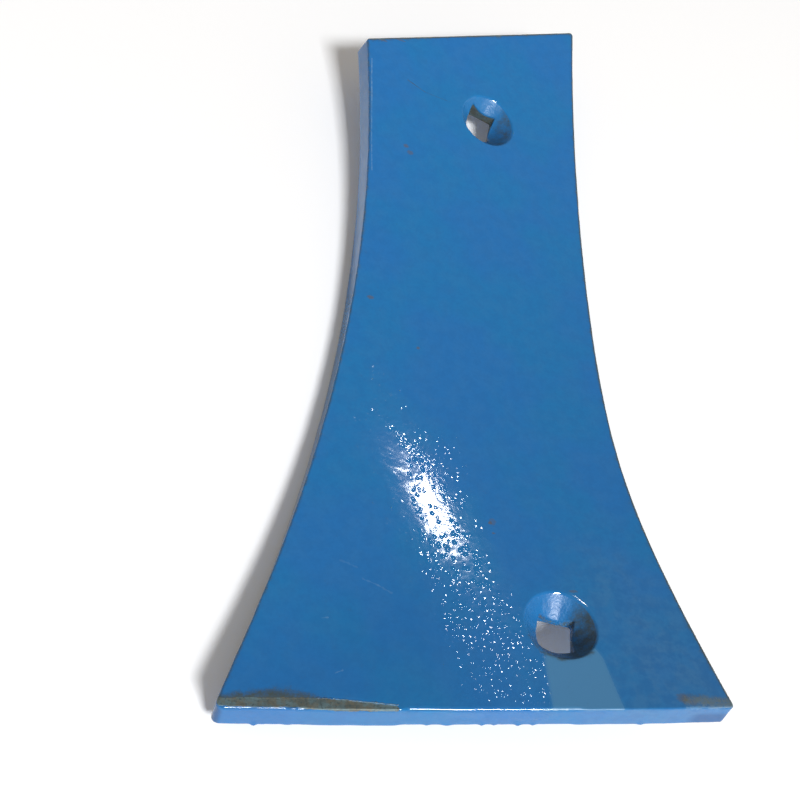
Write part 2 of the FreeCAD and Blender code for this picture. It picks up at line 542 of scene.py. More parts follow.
@dataclass
class Shell:
    """Mesh in the making: rows of blank x, blank y, depth and wear, with faces and regions."""

    rows: list[np.ndarray] = field(default_factory=list)
    kinds: list[np.ndarray] = field(default_factory=list)
    faces: list[tuple[int, ...]] = field(default_factory=list)
    count: int = 0
    clearance: float = 0.75

    def add(self, rows: np.ndarray, wear: np.ndarray | float, region: Region) -> np.ndarray:
        """Adds vertices.

        Args:
            rows: Blank x, blank y and depth of each.
            wear: How bare each is rubbed.
            region: Part that they belong to.

        Returns:
            Their numbers.
        """
        self.rows.append(np.column_stack([rows, np.broadcast_to(wear, len(rows))]))
        self.kinds.append(np.full(len(rows), region.value))
        self.count += len(rows)
        return np.arange(self.count - len(rows), self.count)

    def band(self, upper: np.ndarray, lower: np.ndarray) -> None:
        """Joins two closed rings, the lower one further from the hollow face, with quads.

        Args:
            upper: Numbers of one ring's vertices.
            lower: Numbers of the other's, in the same order.
        """
        for k in range(len(upper)):
            following = (k + 1) % len(upper)
            self.faces.append((upper[k], lower[k], lower[following], upper[following]))

    def lattice(self, low: np.ndarray, high: np.ndarray, step: float) -> np.ndarray:
        """Even triangular lattice of spots in a box.

        Args:
            low: Lower left corner of the box.
            high: Its upper right corner.
            step: Distance between neighbours.

        Returns:
            The spots, one in each row.
        """
        spots = []
        for j in range(int((high[1] - low[1]) / (step * math.sqrt(3) / 2)) + 2):
            x = np.arange(low[0] + step / 2 * (j % 2), high[0], step)
            spots.append(np.stack([x, np.full(len(x), low[1] + j * step * math.sqrt(3) / 2)], 1))
        return np.concatenate(spots)

    def sheet(self, outer: np.ndarray, holes: list[np.ndarray], depth: float, step: float,
              region: Region, zones: tuple[FineZone, ...] = ()) -> None:
        """Fills the space between an outer ring and the holes' rings with even triangles.

        Args:
            outer: Numbers of the outer ring's vertices.
            holes: Numbers of each hole's vertices.
            depth: Depth of the sheet below the hollow face.
            step: Distance between the vertices inside it.
            region: Part that the sheet is.
            zones: Boxes that get a finer step.
        """
        rows = np.concatenate(self.rows)[:, :2]
        rings = [outer] + holes
        loops = [rows[ring] for ring in rings]
        fixed = np.concatenate(rings)
        coarse = self.lattice(rows[outer].min(0), rows[outer].max(0), step)
        for zone in zones:
            coarse = coarse[~zone.holds(coarse)]
        free = [coarse[self.clear(coarse, loops, step * self.clearance)]]
        for zone in zones:
            inset = zone.step / 2
            fine = self.lattice(np.array(zone.low) + inset, np.array(zone.high) - inset, zone.step)
            free.append(fine[self.clear(fine, loops, zone.step * self.clearance)])
        free = np.concatenate(free)
        spots = np.concatenate([rows[fixed], free])
        borders, start = [], 0
        for ring in rings:
            borders.append(list(range(start, start + len(ring))))
            start += len(ring)
        result = delaunay_2d_cdt([Vector(s) for s in spots.tolist()], [], borders, 1, 1e-6)
        added = self.add(np.column_stack([free, np.full(len(free), depth)]), 0.0, region)
        numbers = np.concatenate([fixed, added])
        for face, inside in zip(result[2], result[5]):
            if len(inside) == 1:
                face = [int(numbers[result[3][v][0]]) for v in face]
                self.faces.append(tuple(face[::-1] if region is Region.BACK else face))

    @staticmethod
    def clear(spots: np.ndarray, loops: list[np.ndarray], gap: float) -> np.ndarray:
        """Which spots are inside the first loop and outside the others, by more than a gap.

        Args:
            spots: Places in the blank, one in each row.
            loops: Closed outlines, the outer one first.
            gap: Least distance from any of their points.

        Returns:
            True for each spot that is kept.
        """
        keep = np.ones(len(spots), bool)
        for number, loop in enumerate(loops):
            inside = np.zeros(len(spots), bool)
            near = np.zeros(len(spots), bool)
            for p, q in zip(loop, np.roll(loop, -1, 0)):
                if p[1] != q[1]:
                    crossing = (spots[:, 1] >= min(p[1], q[1])) & (spots[:, 1] < max(p[1], q[1]))
                    where = p[0] + (spots[:, 1] - p[1]) * (q[0] - p[0]) / (q[1] - p[1])
                    inside ^= crossing & (spots[:, 0] < where)
                near |= (np.abs(spots[:, 0] - p[0]) < gap) & (np.abs(spots[:, 1] - p[1]) < gap)
            keep &= ~near & (inside if number == 0 else ~inside)
        return keep


@dataclass(frozen=True)
class Stroke:
    """Soft mark drawn along a line of the blank: x, y and half width in mm at each spot."""

    line: tuple[tuple[float, float, float], ...]
    soft: float
    amount: float = 1.0

    def share(self, x: np.ndarray, y: np.ndarray) -> np.ndarray:
        """How much of the mark lies at each place.

        Args:
            x: First coordinates.
            y: Second coordinates.

        Returns:
            The full amount inside, half of it on the mark's edge and nothing well outside.
        """
        inside = np.full(x.shape, -1e9)
        for (ax, ay, aw), (bx, by, bw) in zip(self.line, self.line[1:]):
            dx, dy = bx - ax, by - ay
            t = np.clip(((x - ax) * dx + (y - ay) * dy) / (dx * dx + dy * dy), 0, 1)
            width = aw + (bw - aw) * t
            inside = np.maximum(inside, width - np.hypot(x - ax - t * dx, y - ay - t * dy))
        return self.amount * smooth(inside / self.soft + 0.5)


def heaviest(strokes: tuple[Stroke, ...], x: np.ndarray, y: np.ndarray) -> np.ndarray:
    """The largest share of any of the strokes at each place."""
    return np.max([stroke.share(x, y) for stroke in strokes], axis=0)


@dataclass(frozen=True)
class Weathering:
    """Where the plate is bare, rusty or dirty, where shade and a reflection are painted, and how its paint
    lies, by places of the blank.
    """

    bare_strip: Stroke = Stroke(((-0.5, 1.9, 1.1), (8.0, 2.1, 1.5), (25.0, 2.2, 1.6), (30.0, 1.7, 1.9),
                                 (38.0, 1.3, 1.9), (47.0, 0.7, 1.6), (55.0, 0.2, 1.0)), 1.4)
    rust: tuple[Stroke, ...] = (
        Stroke(((22.0, 2.0, 0.8), (34.0, 1.8, 0.9), (50.0, 1.0, 0.5)), 1.6, 0.6),
        Stroke(((153.0, 2.2, 1.8), (161.0, 1.5, 2.6), (168.5, 0.4, 2.4)), 4.4, 0.70),)
    # Dirt above the bare strip and in the smear at the bottom right, and a dark line along the lower rim
    # of the lower seat.
    grime_and_shade: tuple[Stroke, ...] = (
        Stroke(((-1.0, 2.6, 1.8), (10.0, 3.0, 2.4), (16.0, 3.4, 3.0), (22.0, 3.4, 3.0), (28.0, 2.6, 2.2),
                (34.0, 2.0, 1.0)), 4.2, 0.78),
        Stroke(((152.0, 2.6, 1.4), (155.0, 3.2, 1.6), (162.0, 2.6, 1.2), (168.0, 1.2, 0.8)), 3.6, 0.45),
        Stroke(((103.5, 27.0, 0.2), (106.5, 20.6, 0.6), (114.0, 17.9, 0.9), (125.0, 20.6, 0.7)), 1.6, 0.6))
    lively: tuple[Stroke, ...] = (
        Stroke(((58.0, 115.0, 1.6), (67.0, 104.0, 2.2), (73.0, 97.0, 4.0)), 3.0, 0.9),
        Stroke(((80.0, 96.0, 11.0), (81.0, 78.0, 11.5), (80.0, 60.0, 11.0)), 5.0, 0.80),
        Stroke(((82.0, 52.0, 11.0), (89.0, 28.0, 14.0), (95.0, 6.0, 19.0)), 6.0, 1.5),
        Stroke(((64.0, 152.0, 6.0), (64.0, 122.0, 7.0)), 9.0, 0.36))
    calm: tuple[Stroke, ...] = (
        Stroke(((125.0, 140.0, 26.0), (119.0, 90.0, 25.5), (124.0, 62.0, 27.0)), 2.0, 1.0),
        Stroke(((76.0, 86.0, 2.0), (79.0, 66.0, 2.5)), 6.0, 0.6))
    fine: tuple[Stroke, ...] = (
        Stroke(((58.0, 115.5, 0.8), (68.0, 104.0, 1.6), (76.0, 95.0, 3.5)), 2.5, 0.2),
        Stroke(((80.0, 92.0, 4.0), (81.0, 66.0, 4.0)), 8.0, 0.12))
    dull_patch: Stroke = Stroke(((117.6, 15.5, 10.6), (118.0, 2.0, 11.8), (118.5, -9.0, 13.0)), 1.6, 1.0)
    # Painted reflection: a darker blue patch at the right of the bottom end. Painted shade: the rounded
    # bottom-left corner and the lower left of the hollow face are darkened.
    reflection_patch: Stroke = Stroke(((157.0, 0.0, 1.0), (163.0, 0.0, 7.0), (170.0, 0.0, 5.0)), 5.0, 1.0)
    corner_shade: Stroke = Stroke(((-3.0, -1.0, 5.2), (-3.0, 1.0, 5.2)), 1.6, 1.0)
    lower_left_shade: Stroke = Stroke(((10.0, 0.0, 10.0), (62.0, 26.0, 14.0)), 60.0, 0.24)
    haze: Stroke = Stroke(((140.0, 50.0, 8.0), (150.0, 14.0, 22.0)), 40.0, 1.0)
    # Painted shade: each seat is darkened towards its right-hand wall, which faces away from the light.
    shaded_seats: tuple[tuple[tuple[float, float], float], ...] = (((116.0, 31.0), 0.62),
                                                                  ((119.0, 272.0), 0.42))
    seat_reach: float = 16.0
    drips: tuple[tuple[float, float, float], ...] = (
        (13.0, 0.55, 0.8), (67.0, 0.35, 0.9), (73.5, 0.4, 1.6), (85.0, 0.5, 0.8), (89.0, 0.35, 0.7),
        (97.0, 0.55, 0.9), (102.0, 0.45, 0.8), (139.0, 0.3, 1.0))

    @staticmethod
    def near_face(depth: np.ndarray) -> np.ndarray:
        """Share from 1 on the hollow face to 0 where the edge is fully turned down."""
        return 1 - smooth((depth - 0.25) / 0.6)

    def wear(self, rows: np.ndarray, kinds: np.ndarray) -> np.ndarray:
        """Bareness, rust, and grime with painted shade on the seats, of each vertex.

        Args:
            rows: Blank x, blank y, depth and wear of each vertex.
            kinds: Region of each vertex.

        Returns:
            Rows of three values from 0 to 1.
        """
        x, y, depth, rubbed = rows.T
        on_top = self.near_face(depth)
        strip = self.bare_strip.share(x, y)
        strip *= 1 - smooth((depth - 0.22 - 0.25 * smooth((x - 27) / 8)) / 0.4)
        rust = heaviest(self.rust, x, y) * on_top
        grime_and_shade = heaviest(self.grime_and_shade, x, y) * on_top
        # Painted shade on the seats, darker towards their right-hand walls.
        seat = kinds == Region.SEAT.value
        for middle, amount in self.shaded_seats:
            right = (x - middle[0]) * 0.9 - (y - middle[1]) * 0.45
            near = np.hypot(x - middle[0], y - middle[1]) < self.seat_reach
            grime_and_shade = np.where(seat & near, amount * smooth(right / 9 + 0.1), grime_and_shade)
        grime_and_shade = np.maximum(grime_and_shade, 1.2 * rubbed * (kinds != Region.NECK.value))
        return np.column_stack([np.maximum(strip, rubbed * 0.75), rust, grime_and_shade])

    def film(self, rows: np.ndarray, kinds: np.ndarray) -> np.ndarray:
        """Dimples, fine ripple and dullness of the paint at each vertex.

        Args:
            rows: Blank x, blank y, depth and wear of each vertex.
            kinds: Region of each vertex.

        Returns:
            Rows of three values.
        """
        x, y, depth, _ = rows.T
        on_top = self.near_face(depth)
        peel = 0.12 + heaviest(self.lively, x, y) * 0.88
        seat = kinds == Region.SEAT.value
        peel *= (1 - heaviest(self.calm, x, y)) * smooth((y - 1.0) / 1.4)
        dull = self.dull_patch.share(x, y) * on_top
        peel = np.where(seat, 1.0, peel * (1 - dull))
        fine = np.where(seat, 2.0, heaviest(self.fine, x, y))
        return np.column_stack([peel, fine, dull])

    def dust_and_shade(self, rows: np.ndarray, kinds: np.ndarray) -> np.ndarray:
        """Haze on the paint, painted shade and reflection in its blue, and want of gloss at each vertex.

        Args:
            rows: Blank x, blank y, depth and wear of each vertex.
            kinds: Region of each vertex.

        Returns:
            Rows of three values from 0 to 1.
        """
        x, y, depth, _ = rows.T
        # Painted reflection on the right of the bottom end, painted shade on the rounded bottom-left
        # corner and on the lower left of the hollow face.
        shade_and_reflection = self.reflection_patch.share(x, y) * smooth((depth - 2.8) / 2.4)
        shade_and_reflection = np.maximum(shade_and_reflection, self.corner_shade.share(x, y) * smooth((depth - 0.6) / 1.2))
        shade_and_reflection = np.maximum(shade_and_reflection, self.lower_left_shade.share(x, y))
        matt = (kinds == Region.SEAT.value).astype(float)
        return np.column_stack([self.haze.share(x, y), shade_and_reflection, matt])

    def relief(self, rows: np.ndarray, kinds: np.ndarray) -> np.ndarray:
        """Height of the real surface over the true one at each vertex, in mm.

        Args:
            rows: Blank x, blank y, depth and wear of each vertex.
            kinds: Region of each vertex.

        Returns:
            One height for each vertex, positive outward.
        """
        x, y, depth, _ = rows.T
        face = (kinds == Region.HOLLOW.value) | (kinds == Region.BACK.value)
        wall = (kinds == Region.RIM.value) & (depth > 0.3)
        seat = kinds == Region.SEAT.value
        neck = kinds == Region.NECK.value
        around = x + y
        height = ripple(x, y, 46, 3) * 0.03 + ripple(x, y, 13, 4) * 0.006
        height += np.where(face, ripple(x, y, 4.2, 5) * 0.0025, 0)
        height += np.where(wall, ripple(around, depth, 6, 6) * 0.07, 0)
        height += np.where(wall, ripple(around, depth, 2.3, 7) * 0.02, 0)
        height += np.where(seat, ripple(x, y, 2.2, 8) * 0.10 + ripple(x, y, 1.1, 9) * 0.035, 0)
        height += np.where(neck, ripple(around, depth, 2.2, 10) * 0.08, 0)
        on_top = self.near_face(depth)
        strip = self.bare_strip.share(x, y) * on_top
        height -= strip * (0.16 + 0.07 * ripple(x, y, 2.4, 11) + 0.03 * ripple(x, y, 1.1, 12))
        for place, drop, width in self.drips:
            low = smooth((depth - 8.2) / 1.6) * (y < 8)
            height += drop * low * np.exp(-((x - place) / width)**2)
        return height


@dataclass
class Graph:
    """Node tree in the making."""

    tree: bpy.types.NodeTree

    def node(self, kind: str, **settings: object) -> bpy.types.Node:
        """Adds a node and sets its properties.

        Args:
            kind: Type of the node.
            settings: Its properties and their values.

        Returns:
            The node.
        """
        node = self.tree.nodes.new(kind)
        for name, value in settings.items():
            setattr(node, name, value)
        return node

    def feed(self, socket: bpy.types.NodeSocket, value: Feed) -> None:
        """Links a socket to an output, or sets its value.

        Args:
            socket: Socket that is fed.
            value: Output or plain value that feeds it.
        """
        if isinstance(value, bpy.types.NodeSocket):
            self.tree.links.new(value, socket)
        elif socket.type == "RGBA":
            socket.default_value = (*value, 1.0)
        else:
            socket.default_value = value

    def math(self, operation: str, *values: Feed) -> bpy.types.NodeSocket:
        """Adds a sum of one to three numbers.

        Args:
            operation: Name of the sum.
            values: What goes into it, in order.

        Returns:
            The result.
        """
        node = self.node("ShaderNodeMath", operation=operation)
        for socket, value in zip(node.inputs, values):
            self.feed(socket, value)
        return node.outputs[0]

    def vector(self, operation: str, *values: Feed) -> bpy.types.NodeSocket:
        """Adds a sum of one or two vectors.

        Args:
            operation: Name of the sum.
            values: What goes into it, in order.

        Returns:
            The result, a vector or, for a length or a product, a number.
        """
        node = self.node("ShaderNodeVectorMath", operation=operation)
        for socket, value in zip(node.inputs, values):
            self.feed(socket, value)
        single = operation in ("LENGTH", "DOT_PRODUCT")
        return node.outputs["Value" if single else "Vector"]

    def step(self, value: Feed, low: Feed, high: Feed, bottom: Feed = 0.0,
             top: Feed = 1.0) -> bpy.types.NodeSocket:
        """Smooth step from the bottom at a low value to the top at a high one.

        Args:
            value: What is measured.
            low: Value at which the step begins.
            high: Value at which it ends.
            bottom: Result before the step.
            top: Result after it.

        Returns:
            The result.
        """
        node = self.node("ShaderNodeMapRange", interpolation_type="SMOOTHSTEP")
        for socket, number in zip(node.inputs, (value, low, high, bottom, top)):
            self.feed(socket, number)
        return node.outputs[0]

    def blend(self, share: Feed, low: Feed, high: Feed) -> bpy.types.NodeSocket:
        """Mixes two colours.

        Args:
            share: Share of the second.
            low: What shows at a share of 0.
            high: What shows at a share of 1.

        Returns:
            The colour.
        """
        node = self.node("ShaderNodeMix", data_type="RGBA")
        for index, value in zip((0, 6, 7), (share, low, high)):
            self.feed(node.inputs[index], value)
        return node.outputs[2]

    def between(self, share: Feed, low: Feed, high: Feed) -> bpy.types.NodeSocket:
        """Mixes two numbers.

        Args:
            share: Share of the second.
            low: What shows at a share of 0.
            high: What shows at a share of 1.

        Returns:
            The number.
        """
        node = self.node("ShaderNodeMix", data_type="FLOAT")
        for index, value in zip((0, 2, 3), (share, low, high)):
            self.feed(node.inputs[index], value)
        return node.outputs[0]

    def noise(self, place: Feed, size: float, detail: float = 2.0,
              rough: float = 0.5) -> bpy.types.NodeSocket:
        """Adds noise whose bumps are about a size across, in the units of the place.

        Args:
            place: Where the noise is read.
            size: About the width of a bump.
            detail: How many finer layers it has.
            rough: How strong they are.

        Returns:
            A value from 0 to 1.
        """
        node = self.node("ShaderNodeTexNoise")
        for name, value in (("Vector", place), ("Scale", 1 / size), ("Detail", detail),
                            ("Roughness", rough)):
            self.feed(node.inputs[name], value)
        return node.outputs[0]

    def wobble(self, place: Feed, size: float, detail: float = 2.0,
               rough: float = 0.5) -> bpy.types.NodeSocket:
        """Adds noise that lies about nought."""
        return self.math("SUBTRACT", self.noise(place, size, detail, rough), 0.5)

    def cells(self, place: Feed, size: float) -> tuple[bpy.types.NodeSocket, bpy.types.NodeSocket]:
        """Distance from the middle of each random cell, as a share of its size, and the cell's lot.

        Args:
            place: Where the cells are read.
            size: About the width of a cell.

        Returns:
            The distance and the lot, a number from 0 to 1 for each cell.
        """
        node = self.node("ShaderNodeTexVoronoi")
        self.feed(node.inputs["Vector"], place)
        self.feed(node.inputs["Scale"], 1.0 / size)
        self.feed(node.inputs["Randomness"], 0.9)
        return node.outputs["Distance"], self.parts(node.outputs["Color"])[0]

    def attribute(self, name: str) -> bpy.types.NodeSocket:
        """Reads a vector that the mesh carries."""
        return self.node("ShaderNodeAttribute", attribute_name=name).outputs["Vector"]

    def parts(self, vector: Feed) -> list[bpy.types.NodeSocket]:
        """Splits a vector into its three numbers.

        Args:
            vector: What is split.

        Returns:
            The three numbers.
        """
        node = self.node("ShaderNodeSeparateXYZ")
        self.feed(node.inputs[0], vector)
        return list(node.outputs)


def mask_group(name: str, vectors: tuple[str, ...], numbers: tuple[str, ...]) -> Graph:
    """Starts a node group that gives a mask.

    Args:
        name: Name of the group.
        vectors: Names of its vector inputs.
        numbers: Names of its number inputs.

    Returns:
        The group's graph, still without nodes.
    """
    tree = bpy.data.node_groups.new(name, "ShaderNodeTree")
    for title in vectors:
        tree.interface.new_socket(name=title, in_out="INPUT", socket_type="NodeSocketVector")
    for title in numbers:
        tree.interface.new_socket(name=title, in_out="INPUT", socket_type="NodeSocketFloat")
    tree.interface.new_socket(name="Mask", in_out="OUTPUT", socket_type="NodeSocketFloat")
    return Graph(tree)


@dataclass(frozen=True)
class Mark:
    """Mark in the paint, whose mask comes from one node group that all of its kind share."""

    group: ClassVar[str]

    def inputs(self) -> tuple[Feed, ...]:
        """Values for the group's inputs after the place."""
        raise NotImplementedError

    def make_group(self) -> bpy.types.NodeTree:
        """Makes the node group."""
        raise NotImplementedError

    def mask(self, graph: Graph, place: Feed) -> bpy.types.NodeSocket:
        """Adds the mark's mask to a material.

        Args:
            graph: Graph of the material.
            place: Place in the blank.

        Returns:
            A value from 0 to 1.
        """
        tree = bpy.data.node_groups.get(self.group) or self.make_group()
        node = graph.node("ShaderNodeGroup", node_tree=tree)
        for socket, value in zip(node.inputs, (place, *self.inputs())):
            graph.feed(socket, value)
        return node.outputs["Mask"]


@dataclass(frozen=True)
class Speck(Mark):
    """Small ragged spot in the paint: its middle and half sizes in the blank and its depth."""

    group: ClassVar[str] = "ragged_speck"
    spot: tuple[float, float, float]
    reach: tuple[float, float, float]
    strength: float = 1.0
    ragged: float = 1.1

    def inputs(self) -> tuple[Feed, ...]:
        """Middle, half sizes, strength and raggedness."""
        return self.spot, self.reach, self.strength, self.ragged

    def make_group(self) -> bpy.types.NodeTree:
        """Makes the node group that all specks share.

        Returns:
            The group.
        """
        graph = mask_group(self.group, ("Place", "Middle", "Reach"), ("Strength", "Ragged"))
        given = graph.node("NodeGroupInput").outputs
        offset = graph.vector("SUBTRACT", given["Place"], given["Middle"])
        gap = graph.vector("LENGTH", graph.vector("DIVIDE", offset, given["Reach"]))
        ruffle = graph.wobble(given["Place"], 0.8, 3.0, 0.6)
        gap = graph.math("MULTIPLY_ADD", ruffle, given["Ragged"], gap)
        mask = graph.math("MULTIPLY", graph.step(gap, 1.0, 0.55), given["Strength"])
        graph.feed(graph.node("NodeGroupOutput").inputs["Mask"], mask)
        return graph.tree


@dataclass(frozen=True)
class Scratch(Mark):
    """Fine line from one spot of the blank to another, in mm: a scratch, a pale line of wear or of painted
    highlight, or a ridge.
    """

    group: ClassVar[str] = "fine_line"
    start: tuple[float, float, float]
    stop: tuple[float, float, float]
    width: float
    strength: float = 1.0

    def inputs(self) -> tuple[Feed, ...]:
        """Start, course, width and strength."""
        course = tuple(b - a for a, b in zip(self.start, self.stop))
        return self.start, course, self.width, self.strength

    def make_group(self) -> bpy.types.NodeTree:
        """Makes the node group that all fine lines share.

        Returns:
            The group.
        """
        graph = mask_group(self.group, ("Place", "Start", "Course"), ("Width", "Strength"))
        given = graph.node("NodeGroupInput").outputs
        offset = graph.vector("SUBTRACT", given["Place"], given["Start"])
        length = graph.vector("DOT_PRODUCT", given["Course"], given["Course"])
        share = graph.math("DIVIDE", graph.vector("DOT_PRODUCT", offset, given["Course"]), length)
        share = graph.math("MINIMUM", graph.math("MAXIMUM", share, 0.0), 1.0)
        nearest = graph.node("ShaderNodeVectorMath", operation="SCALE")
        graph.feed(nearest.inputs["Vector"], given["Course"])
        graph.feed(nearest.inputs["Scale"], share)
        gap = graph.vector("LENGTH", graph.vector("SUBTRACT", offset, nearest.outputs["Vector"]))
        waver = graph.step(graph.noise(given["Place"], 1.6, 2.0), 0.35, 0.7, 0.3, 1.4)
        mask = graph.step(graph.math("DIVIDE", gap, graph.math("MULTIPLY", given["Width"], waver)),
                          1.0, 0.3)
        graph.feed(graph.node("NodeGroupOutput").inputs["Mask"],
                   graph.math("MULTIPLY", mask, given["Strength"]))
        return graph.tree


@dataclass(frozen=True)
class BluePaint:
    """Glossy blue enamel over steel, finely dimpled, worn to bare metal and rust in places, with painted
    shade, a painted reflection and painted glint lines.
    """

    blue: Colour = (0.014, 0.155, 0.424)
    greener: Colour = (0.010, 0.167, 0.412)
    dusty: Colour = (0.042, 0.172, 0.370)
    blot: Colour = (0.010, 0.118, 0.335)
    dull: Colour = (0.060, 0.215, 0.400)
    steel: Colour = (0.120, 0.188, 0.206)
    dark_steel: Colour = (0.068, 0.100, 0.106)
    stain: Colour = (0.142, 0.142, 0.112)
    brown_rust: Colour = (0.100, 0.094, 0.088)
    tan: Colour = (0.128, 0.166, 0.160)
    # Colour of grime, and of painted shade on the seats' right-hand walls.
    grime_and_shade: Colour = (0.046, 0.066, 0.066)
    # Colour of painted shade and of a painted darker reflection.
    shade_and_reflection_blue: Colour = (0.001, 0.088, 0.270)
    # Colour of pale scuffs and of painted glint lines.
    pale_wear_and_glint: Colour = (0.30, 0.46, 0.58)
    gloss: float = 0.045
    swell_size: float = 3.0
    swell_depth: float = 0.009
    dimple_gap: float = 2.1
    dimple_radius: float = 1.15
    dimple_depth: float = 0.018
    fine_size: float = 0.8
    fine_depth: float = 0.050
    ridge_height: float = 0.28
    grain_depth: float = 0.12
    dull_roughness: float = 0.34
    seat_roughness: float = 0.38
    dirt_roughness: float = 0.55
    bare_roughness: float = 0.5
    bare_metallic: float = 0.35
    rust_specks: tuple[Speck, ...] = (
        Speck((77.6, 245.2, 0.0), (1.5, 1.1, 2.0), 0.6),
        Speck((79.6, 242.4, 0.0), (1.8, 1.3, 2.0), 0.5),
        Speck((59.6, 165.8, 0.0), (1.7, 1.1, 2.0), 0.6),
        Speck((97.6, 71.0, 0.0), (0.9, 0.8, 2.0), 0.7),
        Speck((98.2, 66.8, 0.0), (0.9, 0.5, 2.0), 0.6),
        Speck((78.1, 145.7, 0.0), (0.9, 0.9, 2.0), 0.6),
        Speck((66.6, 296.4, 0.0), (2.2, 0.7, 1.0), 0.5),
        Speck((74.6, 299.8, 0.0), (3.0, 0.6, 1.0), 0.5),
        Speck((123.5, 44.4, 0.0), (2.0, 0.7, 2.0), 0.5),
        Speck((151.6, 3.2, 0.0), (2.6, 2.2, 2.0), 0.40),
        Speck((154.6, 1.4, 0.0), (1.9, 1.5, 2.0), 0.35),
        Speck((98.6, 71.6, 0.0), (1.6, 1.8, 2.0), 0.35))
    ridges: tuple[Scratch, ...] = (
        Scratch((31.0, 3.7, 0.0), (38.0, 3.25, 0.0), 0.32, 0.7),
        Scratch((38.0, 3.25, 0.0), (49.0, 2.1, 0.0), 0.38, 0.8),
        Scratch((49.0, 2.1, 0.0), (55.8, 1.4, 0.0), 0.46, 1.0))
    scuffs_and_glints: tuple[Scratch, ...] = (
        Scratch((48.9, 45.7, 0.0), (53.8, 43.7, 0.0), 0.60, 0.09),
        Scratch((53.8, 43.7, 0.0), (58.3, 41.0, 0.0), 0.55, 0.08),
        Scratch((41.6, 52.3, 0.0), (47.2, 50.1, 0.0), 0.60, 0.06),
        Scratch((34.2, 30.8, 0.0), (36.2, 31.2, 0.0), 0.40, 0.16),
        Scratch((37.0, 11.9, 0.0), (39.6, 13.0, 0.0), 0.40, 0.14),
        # Painted highlights: pale lines that stand for glints on the ridge above the bare strip, on the
        # paint bead along the left edge and on the rounded bottom edge.
        Scratch((36.0, 3.4, 0.0), (49.0, 2.2, 0.0), 0.28, 0.45),
        Scratch((49.0, 2.2, 0.0), (55.8, 1.5, 0.0), 0.36, 0.8),
        Scratch((61.0, 285.0, 0.0), (61.5, 263.5, 0.0), 0.22, 0.5),
        Scratch((61.5, 263.5, 0.0), (61.7, 228.0, 0.0), 0.20, 0.36),
        Scratch((99.0, -0.1, 0.4), (111.0, -0.15, 0.4), 0.45, 0.85),
        # A pale worn line along the bottom edge under the smear.
        Scratch((152.0, -0.4, 0.2), (168.5, -0.45, 0.2), 0.95, 0.24))
    scratches: tuple[Scratch, ...] = (
        Scratch((78.7, 280.1, 0.0), (87.2, 276.7, 0.0), 0.28, 0.75),
        Scratch((87.2, 276.7, 0.0), (99.7, 275.7, 0.0), 0.22, 0.45))

    def material(self) -> bpy.types.Material:
        """Makes the material.

        Returns:
            The material.
        """
        material = bpy.data.materials.new("blue_paint_worn")
        material.use_nodes = True
        graph = Graph(material.node_tree)
        shader = material.node_tree.nodes["Principled BSDF"]
        place = graph.attribute("blank")
        bare, rust, grime_and_shade = self.wear_masks(graph, place)
        peel, fine, dull = graph.parts(graph.attribute("film"))
        haze, shade_and_reflection, matt = graph.parts(graph.attribute("dust_and_shade"))
        colour = self.paint_colour(graph, place, dull, haze)
        # Painted shade and a painted reflection: darker blue on the lower left of the face, on the
        # bottom-left corner and on the bottom end.
        colour = graph.blend(shade_and_reflection, colour, self.shade_and_reflection_blue)
        # Pale scuffs, and pale lines painted as highlights along the strip's ridge, the left edge and the
        # bottom edge.
        for pale_mark in self.scuffs_and_glints:
            colour = graph.blend(pale_mark.mask(graph, place), colour, self.pale_wear_and_glint)
        # Grime, with painted shade on the seats' right-hand walls.
        colour = graph.blend(grime_and_shade, colour, self.grime_and_shade)
        colour = graph.blend(rust, colour, self.tan)
        for speck in self.rust_specks:
            colour = graph.blend(speck.mask(graph, place), colour, self.brown_rust)
        colour = graph.blend(bare, colour, self.metal_colour(graph, place))
        graph.feed(shader.inputs["Base Color"], colour)
        rough = graph.between(graph.step(dull, 0.46, 0.58), self.gloss, self.dull_roughness)
        rough = graph.between(matt, rough, self.seat_roughness)
        rough = graph.between(graph.math("MAXIMUM", grime_and_shade, rust), rough, self.dirt_roughness)
        rough = graph.between(bare, rough, self.bare_roughness)
        graph.feed(shader.inputs["Roughness"], rough)
        graph.feed(shader.inputs["Metallic"], graph.math("MULTIPLY", bare, self.bare_metallic))
        graph.feed(shader.inputs["Normal"], self.surface(graph, place, peel, fine, bare))
        return material

    def wear_masks(self, graph: Graph, place: Feed) -> tuple[bpy.types.NodeSocket, ...]:
        """Breaks up the worn places of the mesh with fine noise.

        Args:
            graph: Graph of the material.
            place: Place in the blank.

        Returns:
            Masks of bare metal, of rust and of grime.
        """
        bare, rust, grime_and_shade = graph.parts(graph.attribute("wear"))
        fine = graph.wobble(place, 0.7, 3.0, 0.6)
        broad = graph.wobble(place, 3.2)
        ruffle = graph.math("MULTIPLY_ADD", fine, 0.7, graph.math("MULTIPLY", broad, 0.8))
        bare = graph.step(graph.math("ADD", bare, ruffle), 0.38, 0.62)
        rust = graph.step(graph.math("MULTIPLY_ADD", ruffle, 0.8, rust), 0.2, 1.0)
        grime_and_shade = graph.step(graph.math("MULTIPLY_ADD", ruffle, 0.9, grime_and_shade), 0.08, 0.9)
        for scratch in self.scratches:
            grime_and_shade = graph.math("MAXIMUM", grime_and_shade, scratch.mask(graph, place))
        return bare, rust, grime_and_shade

